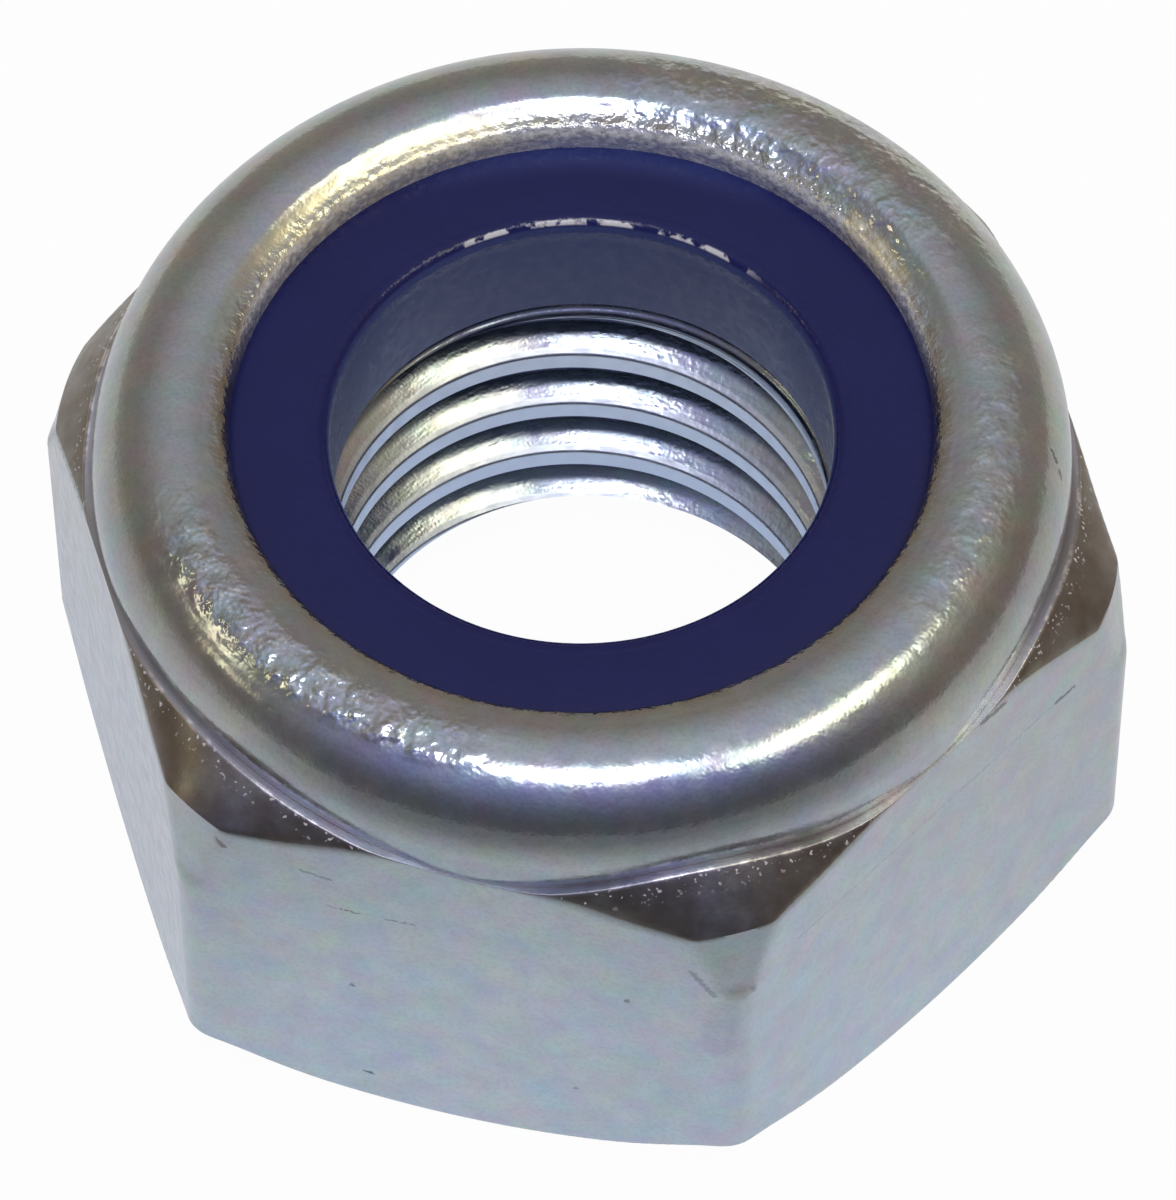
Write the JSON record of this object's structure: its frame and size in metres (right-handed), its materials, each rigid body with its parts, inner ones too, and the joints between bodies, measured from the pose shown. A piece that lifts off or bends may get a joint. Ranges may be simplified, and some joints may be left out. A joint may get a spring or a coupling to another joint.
{
  "type": "nylon insert lock nut",
  "caption": "Hexagon lock nut of zinc-plated steel, with a nylon ring rolled into a round collar above the hexagon to grip the bolt's thread.",
  "frame": {"origin": "centre of the bearing face, on the thread's axis", "axes": "+Z along the thread's axis, from the bearing face to the nylon ring; -Y out of one flat, and +X out of a corner"},
  "size_m": [0.0194, 0.017, 0.01],
  "materials": {
    "zinc_plated_steel": "bright zinc plating with a clear bluish passivation over cold-formed steel, satin on the flats and lightly hammered on the rolled collar",
    "nylon": "dark blue moulded nylon with a satin surface and fine specks"
  },
  "bodies": {
    "root": {"nut_body": "zinc_plated_steel", "nylon_insert": "nylon"}
  },
  "joints": []
}
